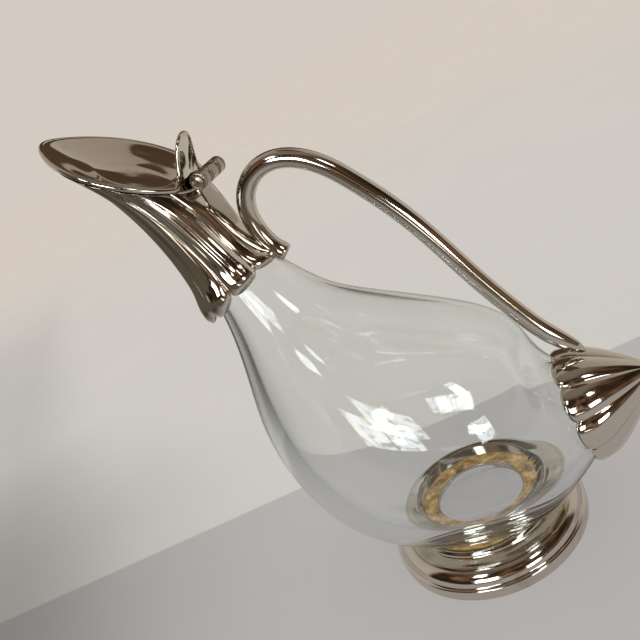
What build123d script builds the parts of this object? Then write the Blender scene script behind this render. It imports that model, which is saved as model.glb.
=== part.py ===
from build123d import *
from math import cos, degrees, pi, radians, sin
import os

# Bird-shaped claret jug: a clear glass body with silver-plated mounts and a hinged lid.
# Millimetres, +Z up. The origin is the centre of the foot's bottom face, the spout
# points to -X, the tail to +X, and the jug is symmetric about Y = 0.

# ---- driving dimensions -------------------------------------------------------
# Foot
FOOT_RADIUS = 50.0
FOOT_BAND_HEIGHT = 6.0
FOOT_LIP_RADIUS = 36.5
FOOT_LIP_HEIGHT = 16.4
FOOT_HOLE_RADIUS = 25.0
FOOT_LEDGE_TOP = 10.0
FOOT_LEDGE_THICKNESS = 2.0
FOOT_BAND_WALL = 3.0
FOOT_CLEARANCE = 0.3
# Profile points (radius, height): the rounded shoulder above the band, then the torus and the cove
FOOT_SHOULDER = [(48.4, 7.0), (46.4, 7.2)]
FOOT_TORUS = [(46.4, 7.2), (43.4, 11.6), (38.4, 13.4)]
FOOT_COVE = [(38.4, 13.4), (37.0, 14.4), (36.5, 15.6)]
FOOT_LIP_EDGE = 0.8
FOOT_INNER_CURVE = [(44.0, 6.0), (47.0, 4.0)]
# Ring of cement on the ledge: its distance from the spigot's side and from the hole
CEMENT_OUTER_INSET = 0.8
CEMENT_INNER_INSET = 0.6

# Glass: stations from the neck to the tail, each an ellipse across the body.
# (back x, z), (breast x, z), half width, (wall at back, wall at breast, wall at side)
GLASS_NECK_STATION = ((-43.5, 182.5), (-73.0, 174.5), 15.8, (2.2, 2.4, 2.2))
GLASS_STATIONS = [
    ((-34.0, 168.5), (-72.5, 157.0), 19.5, (2.2, 3.5, 2.8)),
    ((-22.5, 153.5), (-76.0, 130.5), 27.0, (2.2, 7.0, 4.0)),
    ((-10.0, 143.0), (-81.0, 100.0), 38.0, (2.2, 9.0, 5.0)),
    ((4.0, 134.5), (-79.5, 71.5), 47.0, (2.2, 9.0, 5.0)),
    ((20.5, 125.0), (-62.0, 32.5), 55.5, (2.4, 9.0, 5.0)),
    ((36.0, 115.0), (-22.0, 10.5), 56.5, (2.6, 10.5, 6.5)),
    ((48.8, 99.5), (31.5, 11.5), 44.0, (3.2, 11.5, 7.0)),
    ((57.8, 81.6), (65.2, 35.4), 23.4, (3.6, 5.0, 4.0)),
]
# The closed tail end, hidden in the cap: it starts at the last station above.
GLASS_TAIL_STATION = ((69.1, 75.3), (73.9, 44.7), 15.5, (4.0, 5.0, 4.0))
GLASS_TIP_STATION = ((76.4, 67.9), (78.6, 54.1), 7.0, None)
GLASS_BASE_Z = 11.0
GLASS_SPIGOT_RADIUS = 34.0
GLASS_SHOULDER_Z = 16.5

# Neck collar and spout: stations from the scalloped lower edge to the rim.
# (back x, z), (front x, z), half width, how pointed the front is, flute depth
COLLAR_STATIONS = [
    ((-34.4, 173.6), (-78.8, 159.2), 22.4, 0.00, 1.3),
    ((-39.4, 181.0), (-78.0, 177.8), 20.2, 0.00, 1.3),
    ((-44.0, 189.5), (-80.6, 198.4), 19.8, 0.10, 1.2),
    ((-46.6, 199.0), (-87.0, 220.0), 21.2, 0.22, 1.0),
    ((-48.4, 207.5), (-96.6, 240.6), 23.8, 0.36, 0.7),
    ((-51.4, 216.3), (-111.4, 260.0), 26.6, 0.50, 0.3),
]
COLLAR_WALL = 1.8
# Flute ridges run between these angles, measured from the front round to the back.
FLUTE_EDGES = [21.0, 63.0, 101.0, 143.0]
NOTCH_RADIUS = 2.5
COLLAR_SIDE_RISE = 2.0
COLLAR_SIDE_REACH = 30.0
COLLAR_POINTS = 96

# Lid: a spoon-shaped dish in a rim of round wire, lying just above the collar's rim
LID_GAP = 0.4
LID_DEPTH = 8.0
LID_WALL = 1.5
LID_WIRE_RADIUS = 1.4
# (share of the depth, share of the outline's size, shift towards the hinge)
LID_DISH = [(0.0, 0.96, 0.3), (0.35, 0.79, 1.8), (0.70, 0.56, 4.4), (0.92, 0.33, 6.0), (1.0, 0.14, 6.6)]

# Hinge: the barrel lies across the back of the rim
HINGE_X, HINGE_Z = -45.2, 220.2
HINGE_RADIUS = 3.8
HINGE_LENGTH = 24.0
CENTRE_KNUCKLE = 7.0
KNUCKLE_GAP = 0.3
PIN_RADIUS = 1.5
PIN_CLEARANCE = 0.05
PIN_HEAD_RADIUS = 2.6
PIN_HEAD_HEIGHT = 0.9
PIN_HEAD_ROUNDING = 0.4
HINGE_PLATE_WIDTH = 13.0
HINGE_STRAP_WIDTH = 9.0
MOVING_GAP = 0.3

# The plate's section: from the barrel down the back of the collar
HINGE_PLATE_PROFILE = [
    (-50.6, 214.4), (-47.9, 216.3), (-46.5, 217.6), (-43.2, 217.4), (-42.6, 215.4), (-44.9, 210.0),
    (-44.9, 205.0), (-43.9, 199.0), (-42.6, 193.0), (-44.6, 193.0), (-46.2, 199.5), (-48.2, 207.5),
]
# The plate's outline seen from behind (y, z): straight under the barrel, then a shield's half to its tip
PLATE_TOP_Z = 225.0
PLATE_STRAP_Z = 215.0
PLATE_WIDE_Z = 204.0
PLATE_CORNER = (3.0, 194.5)
PLATE_TIP_Z = 193.6
# The lid's root: from its knuckle to the rim and the thumbpiece
LID_ROOT_PROFILE = [
    (-47.0, 222.6), (-50.6, 222.6), (-51.6, 219.6), (-50.6, 218.0), (-49.6, 217.6), (-47.6, 218.6),
]

# Outlines seen from behind are drawn at this X and cut through this depth
OUTLINE_X = -60.0
OUTLINE_DEPTH = 30.0

# Thumbpiece: a curved tab that stands up over the centre knuckle
THUMB_LINE = [(-52.4, 218.2), (-50.2, 225.0), (-48.6, 230.0), (-47.2, 235.0), (-46.6, 239.0)]
THUMB_THICKNESS = 2.4
THUMB_WIDTH = 15.0
THUMB_BACK_RISE = 0.6
# The tab's outline (half width, height): its foot, its shoulder and where the round tip starts
THUMB_OUTLINE = [(7.5, 200.0), (7.5, 228.0), (6.5, 233.5)]
THUMB_TOP_Z = 239.4

# Handle: centre line from the collar's back to the tail cap, and the bar's radii
HANDLE_POINTS = [
    (-30.2, 173.8), (-34.2, 179.4), (-36.9, 187.5), (-37.4, 196.5), (-34.0, 205.5),
    (-26.5, 212.0), (-16.5, 214.0), (-6.0, 210.8), (3.6, 203.4), (12.8, 191.8),
    (22.8, 176.4), (32.8, 156.8), (43.0, 133.4), (52.8, 113.8), (62.8, 97.6), (73.4, 86.8),
]
HANDLE_START_RADIUS = 4.3
HANDLE_END_RADIUS = 4.1

# Tail cap: fluted circles square to its axis
TAIL_ORIGIN = (62.0, 58.5)
TAIL_TILT = 9.0
# (distance along the axis, radius, lift of the centre, flute depth)
TAIL_STATIONS = [
    (0.0, 27.0, 0.0, 1.5), (7.0, 26.0, 0.2, 1.6), (14.0, 22.6, 0.8, 1.5),
    (22.0, 16.6, 1.8, 1.1), (29.0, 10.2, 2.8, 0.5), (34.0, 4.8, 3.6, 0.0),
]
TAIL_NOSE = 2.2
# The nose's middle point, as shares of its length and of the last radius
TAIL_NOSE_MIDDLE = (0.72, 0.68)
TAIL_WALL = 1.6
TAIL_LOBES = 10
CEMENT_GAP = 0.2
NECK_CEMENT_LOW = 4.5
NECK_CEMENT_DEPTH = 4.0
TAIL_CEMENT_LOW = 1.5
TAIL_CEMENT_DEPTH = 5.0
# A size beyond the whole jug, for cutting tools
BEYOND = 150.0


# ---- helpers ------------------------------------------------------------------
def vector(point):
    """A point (x, z) of the symmetry plane as a 3-D vector."""
    return Vector(point[0], 0, point[1])


def mix(start, end, share):
    """The point that lies at a share of the way from start to end."""
    return tuple(a + (b - a) * share for a, b in zip(start, end))


def span_plane(front, back):
    """A plane across the body, local X towards the front and local Y across."""
    along = (vector(front) - vector(back)).normalized()
    return Plane(origin=(vector(front) + vector(back)) / 2, x_dir=along, z_dir=along.cross(Vector(0, 1, 0)))


def half_span(front, back):
    """Half of the distance between two points of the symmetry plane."""
    return (vector(front) - vector(back)).length / 2


def flute(angle):
    """Height of the flutes round the collar: 1 on a lobe's crown, 0 in a groove."""
    turn = abs((degrees(angle) + 180.0) % 360.0 - 180.0)
    edges = [-FLUTE_EDGES[0]] + FLUTE_EDGES + [360.0 - FLUTE_EDGES[-1]]
    for low, high in zip(edges, edges[1:]):
        if low <= turn <= high:
            return sin(pi * (turn - low) / (high - low)) ** 0.6
    return 0.0


def leaf(half_length, half_width, pointed, depth=0.0, count=24):
    """Points of a leaf outline: an oval drawn to a point at +X, with optional flutes."""
    points = []
    for step in range(count):
        angle = 2 * pi * step / count
        swell = 1 - pointed * ((1 + cos(angle)) / 2) ** 5
        grow = depth * flute(angle)
        x = (half_length + grow) * cos(angle)
        y = (half_width + grow) * sin(angle) * swell
        points.append((x, y))
    return points


def ribbed_circle(radius, depth, lobes):
    """Points of a circle with rounded lobes and sharp grooves between them."""
    points = []
    for step in range(lobes * 8):
        angle = 2 * pi * step / (lobes * 8)
        bulge = depth * (abs(sin(angle * lobes / 2)) ** 0.7 - 1)
        points.append(((radius + bulge) * cos(angle), (radius + bulge) * sin(angle)))
    return points


def shrink(station):
    """The inner ellipse of a glass station, from its wall thicknesses."""
    back, breast, half_width, (back_wall, breast_wall, side_wall) = station
    span = 2 * half_span(back, breast)
    inner_back = mix(back, breast, back_wall / span)
    inner_breast = mix(breast, back, breast_wall / span)
    return inner_back, inner_breast, half_width - side_wall


# ---- glass body ---------------------------------------------------------------
with BuildPart() as glass_body:
    neck_run = [GLASS_NECK_STATION, GLASS_STATIONS[0]]
    tail_run = [GLASS_STATIONS[-1], GLASS_TAIL_STATION, GLASS_TIP_STATION]
    for run in (GLASS_STATIONS, neck_run, tail_run):
        for back, breast, half_width, walls in run:
            with BuildSketch(span_plane(back, breast)):
                Ellipse(half_span(back, breast), half_width)
        loft()
    # the flat base, and the round spigot that sits inside the foot
    with BuildSketch(Plane.XY.offset(GLASS_BASE_Z)):
        Circle(BEYOND)
    extrude(amount=-BEYOND, mode=Mode.SUBTRACT)
    with BuildSketch(Plane.XY.offset(GLASS_SHOULDER_Z)):
        Circle(BEYOND)
        Circle(GLASS_SPIGOT_RADIUS, mode=Mode.SUBTRACT)
    extrude(amount=GLASS_BASE_Z - GLASS_SHOULDER_Z, mode=Mode.SUBTRACT)
    # the hollow, open at the neck
    for run in (GLASS_STATIONS, neck_run, tail_run[:2]):
        for station in run:
            back, breast, half_width = shrink(station)
            with BuildSketch(span_plane(back, breast)):
                Ellipse(half_span(back, breast), half_width)
        loft(mode=Mode.SUBTRACT)
glass_body.part.label = "glass_body"

# ---- foot ---------------------------------------------------------------------
with BuildPart() as foot_ring:
    inner_radius = GLASS_SPIGOT_RADIUS + FOOT_CLEARANCE
    ledge_bottom = FOOT_LEDGE_TOP - FOOT_LEDGE_THICKNESS
    with BuildSketch(Plane.XZ):
        with BuildLine():
            Polyline((FOOT_RADIUS - FOOT_BAND_WALL, 0), (FOOT_RADIUS, 0), (FOOT_RADIUS, FOOT_BAND_HEIGHT))
            Polyline((FOOT_RADIUS, FOOT_BAND_HEIGHT), *FOOT_SHOULDER)
            ThreePointArc(*FOOT_TORUS)
            ThreePointArc(*FOOT_COVE)
            Polyline(FOOT_COVE[-1], (FOOT_LIP_RADIUS - FOOT_LIP_EDGE, FOOT_LIP_HEIGHT))
            Polyline(
                (FOOT_LIP_RADIUS - FOOT_LIP_EDGE, FOOT_LIP_HEIGHT), (inner_radius, FOOT_LIP_HEIGHT),
                (inner_radius, FOOT_LEDGE_TOP), (FOOT_HOLE_RADIUS, FOOT_LEDGE_TOP),
                (FOOT_HOLE_RADIUS, ledge_bottom), (inner_radius + FOOT_LIP_EDGE, ledge_bottom),
            )
            Polyline(
                (inner_radius + FOOT_LIP_EDGE, ledge_bottom), *FOOT_INNER_CURVE,
                (FOOT_RADIUS - FOOT_BAND_WALL, 0),
            )
        make_face()
    revolve(axis=Axis.Z)
foot_ring.part.label = "foot_ring"

with BuildPart() as foot_cement:
    with BuildSketch(Plane.XY.offset(FOOT_LEDGE_TOP)):
        Circle(GLASS_SPIGOT_RADIUS - CEMENT_OUTER_INSET)
        Circle(FOOT_HOLE_RADIUS + CEMENT_INNER_INSET, mode=Mode.SUBTRACT)
    extrude(amount=GLASS_BASE_Z - FOOT_LEDGE_TOP)
foot_cement.part.label = "foot_cement"

# ---- neck collar and spout ------------------------------------------------------
with BuildPart() as neck_collar:
    for back, front, half_width, pointed, depth in COLLAR_STATIONS:
        with BuildSketch(span_plane(front, back)):
            with BuildLine():
                Spline(*leaf(half_span(front, back), half_width, pointed, depth, COLLAR_POINTS), periodic=True)
            make_face()
    loft()
    for back, front, half_width, pointed, depth in COLLAR_STATIONS:
        with BuildSketch(span_plane(front, back)):
            with BuildLine():
                bore = leaf(half_span(front, back) - COLLAR_WALL, half_width - COLLAR_WALL, pointed)
                Spline(*bore, periodic=True)
            make_face()
    loft(mode=Mode.SUBTRACT)
    # the lower edge rises a little at the sides
    foot_plane = span_plane(COLLAR_STATIONS[0][1], COLLAR_STATIONS[0][0])
    with BuildSketch(Plane(origin=foot_plane.origin, z_dir=foot_plane.x_dir, x_dir=(0, -1, 0))):
        with BuildLine():
            reach, height = COLLAR_SIDE_REACH, 2 * COLLAR_SIDE_RISE
            ThreePointArc((-reach, height), (0, 0), (reach, height))
            Polyline((reach, height), (reach, -reach), (-reach, -reach), (-reach, height))
        make_face()
    extrude(amount=BEYOND, both=True, mode=Mode.SUBTRACT)
    # scallops: a round notch at the lower end of each groove, cut on one half and mirrored
    neck_way = 1 if foot_plane.z_dir.Z > 0 else -1
    half_length = half_span(COLLAR_STATIONS[0][1], COLLAR_STATIONS[0][0])
    split(bisect_by=Plane.XZ, keep=Keep.BOTTOM)
    for edge in FLUTE_EDGES:
        turn = radians(edge)
        across = COLLAR_STATIONS[0][2] * sin(turn)
        rise = 2 * COLLAR_SIDE_RISE * (across / COLLAR_SIDE_REACH) ** 2
        spot = foot_plane.from_local_coords((half_length * cos(turn), across, rise * neck_way))
        level = foot_plane.from_local_coords((0, 0, rise * neck_way))
        outward = (spot - level).normalized()
        with BuildSketch(Plane(origin=spot, x_dir=foot_plane.z_dir, z_dir=outward)):
            Circle(NOTCH_RADIUS)
        extrude(amount=2 * NOTCH_RADIUS, both=True, mode=Mode.SUBTRACT)
    mirror(about=Plane.XZ)
neck_collar.part.label = "neck_collar"

with BuildPart() as neck_cement:
    for back, front, half_width, pointed, depth in COLLAR_STATIONS[:3]:
        with BuildSketch(span_plane(front, back)):
            with BuildLine():
                inset = COLLAR_WALL + CEMENT_GAP
                bore = leaf(half_span(front, back) - inset, half_width - inset, pointed)
                Spline(*bore, periodic=True)
            make_face()
    loft()
    # only a band of it, above the scalloped edge
    with BuildSketch(foot_plane.offset(-NECK_CEMENT_LOW)):
        Circle(BEYOND)
    extrude(amount=-NECK_CEMENT_DEPTH, mode=Mode.INTERSECT)
    for back, breast, half_width, walls in neck_run:
        with BuildSketch(span_plane(back, breast)):
            Ellipse(half_span(back, breast) + CEMENT_GAP, half_width + CEMENT_GAP)
    loft(mode=Mode.SUBTRACT)
neck_cement.part.label = "neck_cement"

# ---- hinge ----------------------------------------------------------------------
hinge_axis = Plane(origin=(HINGE_X, 0, HINGE_Z), x_dir=(1, 0, 0), z_dir=(0, 1, 0))
outer_knuckle = (HINGE_LENGTH - CENTRE_KNUCKLE) / 2 - KNUCKLE_GAP
rim_back = COLLAR_STATIONS[-1][0]

with BuildPart() as collar_knuckles:
    for low in (-HINGE_LENGTH / 2, HINGE_LENGTH / 2 - outer_knuckle):
        with BuildSketch(hinge_axis.offset(low)):
            Circle(HINGE_RADIUS)
            Circle(PIN_RADIUS, mode=Mode.SUBTRACT)
        extrude(amount=outer_knuckle)
collar_knuckles.part.label = "collar_knuckles"

with BuildPart() as hinge_plate:
    with BuildSketch(Plane.XZ):
        with BuildLine():
            Polyline(HINGE_PLATE_PROFILE, close=True)
        make_face()
    extrude(amount=HINGE_PLATE_WIDTH / 2, both=True)
    # the plate's outline seen from behind: wide on the collar, narrow under the barrel
    strap, shield = HINGE_STRAP_WIDTH / 2, HINGE_PLATE_WIDTH / 2
    with BuildSketch(Plane.YZ.offset(OUTLINE_X)):
        with BuildLine():
            Line((strap, PLATE_TOP_Z), (strap, PLATE_STRAP_Z))
            Spline(
                (strap, PLATE_STRAP_Z), (shield, PLATE_WIDE_Z), PLATE_CORNER, (0, PLATE_TIP_Z),
                tangents=((0, -1), (-1, 0)),
            )
            Line((0, PLATE_TIP_Z), (0, PLATE_TOP_Z))
            Line((0, PLATE_TOP_Z), (strap, PLATE_TOP_Z))
        make_face()
        mirror(about=Plane.YZ)
    extrude(amount=OUTLINE_DEPTH, mode=Mode.INTERSECT)
    # room for the lid's knuckle to turn
    with BuildSketch(hinge_axis.offset(-CENTRE_KNUCKLE / 2 - KNUCKLE_GAP)):
        Circle(HINGE_RADIUS + MOVING_GAP)
    extrude(amount=CENTRE_KNUCKLE + 2 * KNUCKLE_GAP, mode=Mode.SUBTRACT)
hinge_plate.part.label = "hinge_plate"

with BuildPart() as hinge_pin:
    with BuildSketch(hinge_axis.offset(-HINGE_LENGTH / 2)):
        Circle(PIN_RADIUS)
    extrude(amount=HINGE_LENGTH)
    for low in (-HINGE_LENGTH / 2 - PIN_HEAD_HEIGHT, HINGE_LENGTH / 2):
        with BuildSketch(hinge_axis.offset(low)):
            Circle(PIN_HEAD_RADIUS)
        extrude(amount=PIN_HEAD_HEIGHT)
    for end in (0, -1):
        fillet(hinge_pin.faces().filter_by(Axis.Y).sort_by(Axis.Y)[end].edges(), PIN_HEAD_ROUNDING)
hinge_pin.part.label = "hinge_pin"

# ---- lid ------------------------------------------------------------------------
rim_plane = span_plane(COLLAR_STATIONS[-1][1], rim_back)
rim_half_length = half_span(COLLAR_STATIONS[-1][1], rim_back)
rim_half_width, rim_point = COLLAR_STATIONS[-1][2:4]
up = 1 if rim_plane.z_dir.Z > 0 else -1
lid_level = LID_GAP + LID_WIRE_RADIUS

with BuildPart() as lid_rim_wire:
    with BuildLine(rim_plane.offset(up * lid_level)) as rim_line:
        Spline(*leaf(rim_half_length, rim_half_width, rim_point), periodic=True)
    with BuildSketch(Plane(origin=rim_line.line @ 0, z_dir=rim_line.line % 0)):
        Circle(LID_WIRE_RADIUS)
    sweep(path=rim_line.line)
lid_rim_wire.part.label = "lid_rim_wire"

with BuildPart() as lid_dish:
    for raised, mode in ((0.0, Mode.ADD), (LID_WALL, Mode.SUBTRACT)):
        for depth_share, size, shift in LID_DISH:
            level = lid_level + raised - depth_share * LID_DEPTH
            with BuildSketch(rim_plane.offset(up * level)):
                with BuildLine():
                    outline = leaf(rim_half_length * size, rim_half_width * size, rim_point)
                    outline = [(x - shift, y) for x, y in outline]
                    Spline(*outline, periodic=True)
                make_face()
        loft(mode=mode)
lid_dish.part.label = "lid_dish"

with BuildPart() as lid_knuckle:
    with BuildSketch(hinge_axis.offset(-CENTRE_KNUCKLE / 2)):
        Circle(HINGE_RADIUS)
    extrude(amount=CENTRE_KNUCKLE)
    with BuildSketch(Plane.XZ):
        with BuildLine():
            Polyline(LID_ROOT_PROFILE, close=True)
        make_face()
    extrude(amount=CENTRE_KNUCKLE / 2, both=True)
    with BuildSketch(hinge_axis.offset(-CENTRE_KNUCKLE / 2)):
        Circle(PIN_RADIUS + PIN_CLEARANCE)
    extrude(amount=CENTRE_KNUCKLE, mode=Mode.SUBTRACT)
lid_knuckle.part.label = "lid_knuckle"

with BuildPart() as thumbpiece:
    with BuildSketch(Plane.XZ):
        with BuildLine():
            front_edge = Spline(*THUMB_LINE)
            back_edge = Spline(*[(x + THUMB_THICKNESS, z + THUMB_BACK_RISE) for x, z in THUMB_LINE])
            Line(front_edge @ 0, back_edge @ 0)
            Line(front_edge @ 1, back_edge @ 1)
        make_face()
    extrude(amount=THUMB_WIDTH / 2, both=True)
    # the tab's rounded outline, seen from behind
    with BuildSketch(Plane.YZ.offset(OUTLINE_X)):
        with BuildLine():
            far_side = [(-y, z) for y, z in THUMB_OUTLINE]
            Polyline(far_side[0], *THUMB_OUTLINE)
            ThreePointArc(THUMB_OUTLINE[-1], (0, THUMB_TOP_Z), far_side[-1])
            Polyline(far_side)
        make_face()
    extrude(amount=OUTLINE_DEPTH, mode=Mode.INTERSECT)
    # room for the hinge barrel to turn under the tab
    with BuildSketch(hinge_axis.offset(-THUMB_WIDTH)):
        Circle(HINGE_RADIUS + MOVING_GAP)
    extrude(amount=2 * THUMB_WIDTH, mode=Mode.SUBTRACT)
thumbpiece.part.label = "thumbpiece"

# ---- handle ---------------------------------------------------------------------
with BuildPart() as handle:
    with BuildLine(Plane.XZ) as handle_line:
        Spline(*HANDLE_POINTS)
    with BuildSketch(Plane(origin=handle_line.line @ 0, z_dir=handle_line.line % 0)) as bar_start:
        Circle(HANDLE_START_RADIUS)
    with BuildSketch(Plane(origin=handle_line.line @ 1, z_dir=handle_line.line % 1)) as bar_end:
        Circle(HANDLE_END_RADIUS)
    sweep(path=handle_line.line, multisection=True)
handle.part.label = "handle"

# ---- tail cap -------------------------------------------------------------------
tail_tilt = radians(TAIL_TILT)
tail_axis = Vector(cos(tail_tilt), 0, sin(tail_tilt))
tail_up = Vector(-sin(tail_tilt), 0, cos(tail_tilt))


def tail_plane(distance, lift):
    """The plane across the tail cap at a distance along its axis."""
    origin = vector(TAIL_ORIGIN) + tail_axis * distance + tail_up * lift
    return Plane(origin=origin, x_dir=tail_up, z_dir=tail_axis)


with BuildPart() as tail_cap:
    for distance, radius, lift, depth in TAIL_STATIONS:
        with BuildSketch(tail_plane(distance, lift)):
            with BuildLine():
                Spline(*ribbed_circle(radius, depth, TAIL_LOBES), periodic=True)
            make_face()
    loft()
    # the smooth rounded nose
    nose = tail_plane(TAIL_STATIONS[-1][0], TAIL_STATIONS[-1][2])
    nose_radius = TAIL_STATIONS[-1][1]
    with BuildSketch(Plane(origin=nose.origin, x_dir=tail_axis, z_dir=(0, -1, 0))):
        with BuildLine():
            Line((-1, 0), (TAIL_NOSE, 0))
            middle = (TAIL_NOSE_MIDDLE[0] * TAIL_NOSE, TAIL_NOSE_MIDDLE[1] * nose_radius)
            ThreePointArc((TAIL_NOSE, 0), middle, (0, nose_radius))
            Polyline((0, nose_radius), (-1, nose_radius), (-1, 0))
        make_face()
    revolve(axis=Axis(nose.origin, tail_axis))
    for distance, radius, lift, depth in TAIL_STATIONS[:-1]:
        with BuildSketch(tail_plane(distance, lift)):
            Circle(radius - depth - TAIL_WALL)
    loft(mode=Mode.SUBTRACT)
tail_cap.part.label = "tail_cap"

with BuildPart() as tail_cement:
    for distance, radius, lift, depth in TAIL_STATIONS[:3]:
        with BuildSketch(tail_plane(distance, lift)):
            Circle(radius - depth - TAIL_WALL - CEMENT_GAP)
    loft()
    with BuildSketch(tail_plane(TAIL_CEMENT_LOW, 0)):
        Circle(BEYOND)
    extrude(amount=TAIL_CEMENT_DEPTH, mode=Mode.INTERSECT)
    for back, breast, half_width, walls in tail_run:
        with BuildSketch(span_plane(back, breast)):
            Ellipse(half_span(back, breast) + CEMENT_GAP, half_width + CEMENT_GAP)
    loft(mode=Mode.SUBTRACT)
tail_cement.part.label = "tail_cement"

# ---- export ---------------------------------------------------------------------
os.makedirs("parts", exist_ok=True)
for piece in (glass_body, foot_ring, foot_cement, neck_collar, neck_cement, collar_knuckles, hinge_plate,
              hinge_pin, lid_rim_wire, lid_dish, lid_knuckle, thumbpiece, handle, tail_cap, tail_cement):
    export_step(piece.part, "parts/" + piece.part.label + ".step")
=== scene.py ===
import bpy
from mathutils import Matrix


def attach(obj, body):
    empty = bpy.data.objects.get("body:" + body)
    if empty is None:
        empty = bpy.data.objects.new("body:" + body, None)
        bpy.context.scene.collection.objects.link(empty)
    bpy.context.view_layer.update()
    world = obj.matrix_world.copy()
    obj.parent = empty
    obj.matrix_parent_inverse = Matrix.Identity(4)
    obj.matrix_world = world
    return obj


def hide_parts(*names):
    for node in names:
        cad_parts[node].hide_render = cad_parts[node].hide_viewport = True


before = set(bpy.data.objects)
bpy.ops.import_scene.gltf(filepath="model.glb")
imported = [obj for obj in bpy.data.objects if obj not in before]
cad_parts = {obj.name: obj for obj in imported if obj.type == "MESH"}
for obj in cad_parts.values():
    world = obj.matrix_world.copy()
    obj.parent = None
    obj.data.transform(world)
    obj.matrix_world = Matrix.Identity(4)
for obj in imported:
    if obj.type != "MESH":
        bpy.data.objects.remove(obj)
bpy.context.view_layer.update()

# Looks of the claret jug: clear glass body, silver-plated mounts, hinged lid. Blender works in metres, in
# the CAD's frame; the tables below are in millimetres and become metres in solid().
import math

import bmesh
import bpy
import numpy as np
from mathutils import Matrix, Vector

MM = 0.001

# ---- the jug's own sizes, in millimetres ------------------------------------------
# glass: back x, z, breast x, z, half width, wall at the back, wall at the breast
GLASS = [
    (-43.5, 182.5, -73.0, 174.5, 15.8, 2.2, 2.4),
    (-34.0, 168.5, -72.5, 157.0, 19.5, 2.2, 3.5),
    (-22.5, 153.5, -76.0, 130.5, 27.0, 2.2, 5.0),
    (-10.0, 143.0, -81.0, 100.0, 38.0, 2.2, 6.4),
    (4.0, 134.5, -79.5, 71.5, 47.0, 2.3, 7.0),
    (20.5, 125.0, -62.0, 32.5, 55.5, 2.5, 7.2),
    (36.0, 115.0, -22.0, 10.5, 56.5, 2.8, 6.2),
    (48.8, 99.5, 31.5, 11.5, 44.0, 3.0, 6.0),
    (57.8, 81.6, 65.2, 35.4, 23.4, 3.2, 5.0),
    (69.1, 75.3, 73.9, 44.7, 15.5, 4.0, 5.0),
]
GLASS_BASE, SPIGOT_RADIUS, SHOULDER = 10.97, 33.8, 16.55  # the flat base stands in the foot, the shoulder on it
TAIL_TIP_OUTER, TAIL_TIP_INNER = 7.0, 4.5  # how far the glass bulges past its last section
# collar, from its lower edge: back x, z, front x, z, half width, how pointed at the front, lobe height
COLLAR = [
    (-32.7, 171.1, -79.1, 152.9, 23.7, 0.00, 1.6),
    (-34.4, 173.6, -78.8, 159.2, 22.4, 0.00, 1.5),
    (-39.4, 181.0, -78.0, 177.8, 20.2, 0.00, 1.5),
    (-44.0, 189.5, -80.6, 198.4, 19.8, 0.10, 1.4),
    (-46.6, 199.0, -87.0, 220.0, 21.2, 0.22, 1.2),
    (-48.4, 207.5, -96.6, 240.6, 23.8, 0.28, 1.0),
    (-51.4, 216.3, -111.4, 260.0, 26.6, 0.32, 0.4),
]
# the grooves between the lobes, in degrees from the front
FLUTES = [-13.0, 13.0, 58.0, 99.0, 143.0, 217.0, 261.0, 302.0, 347.0]
# how far each lobe's end is above the lowest section, by its angle from the front
LOBE_MIDDLES = [0.0, 13.0, 36.0, 58.0, 79.0, 99.0, 121.0, 150.0, 180.0]
LOBE_RISE = [7.2, 5.6, 3.0, 3.0, 3.8, 5.2, 6.2, 6.4, 5.6]
LOBE_END = 4.6  # how much higher a groove ends than its lobes
GROOVE, RIDGE = 0.95, 0.55
WALL = 1.8  # the collar's sheet
HINGE = Vector((-45.2, 0.0, 220.2))
KNUCKLE_RADIUS, KNUCKLE_INNER, KNUCKLE_OUTER, LID_KNUCKLE, PIN_BORE = 3.75, 3.8, 12.0, 3.5, 1.6
# handle: x, z of its middle line
HANDLE = [
    (-30.2, 173.8), (-34.2, 179.4), (-36.9, 187.5), (-37.4, 196.5), (-34.0, 205.5), (-26.5, 212.0),
    (-16.5, 214.0), (-6.0, 210.8), (3.6, 203.4), (12.8, 191.8), (22.8, 176.4), (32.8, 156.8),
    (43.0, 133.4), (52.8, 113.8), (62.8, 97.6), (73.4, 86.8),
]
HANDLE_RADIUS = 4.3
# tail cap: distance from its edge, radius, lift above the axis, lobe height
TAIL_TILT, TAIL_ORIGIN, TAIL_LOBES, TAIL_WALL = math.radians(9.0), np.array([62.0, 0, 58.5]), 10, 1.7
TAIL = [(0.0, 27.0, 0.0, 1.5), (7.0, 26.0, 0.2, 1.6), (14.0, 22.6, 0.8, 1.5), (22.0, 16.6, 1.8, 1.1),
        (29.0, 10.2, 2.8, 0.5), (34.0, 4.8, 3.6, 0.0)]


# ---- mesh helpers -------------------------------------------------------------------
def through(rows, count):
    """Rows of numbers on a natural cubic spline through the given rows, evenly spaced along it."""
    rows = np.array(rows, float)
    knots = np.concatenate([[0], np.cumsum(np.linalg.norm(np.diff(rows, axis=0), axis=1))])
    n = len(rows)
    h = np.diff(knots)
    matrix, right = np.eye(n), np.zeros_like(rows)
    for i in range(1, n - 1):
        matrix[i, i - 1:i + 2] = h[i - 1], 2 * (h[i - 1] + h[i]), h[i]
        right[i] = 6 * ((rows[i + 1] - rows[i]) / h[i] - (rows[i] - rows[i - 1]) / h[i - 1])
    bend = np.linalg.solve(matrix, right)
    out = []
    for t in np.linspace(0, knots[-1], count):
        i = min(max(int(np.searchsorted(knots, t)) - 1, 0), n - 2)
        a, b = knots[i + 1] - t, t - knots[i]
        out.append(bend[i] * a ** 3 / (6 * h[i]) + bend[i + 1] * b ** 3 / (6 * h[i])
                   + (rows[i] / h[i] - bend[i] * h[i] / 6) * a + (rows[i + 1] / h[i] - bend[i + 1] * h[i] / 6) * b)
    return np.array(out)


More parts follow.
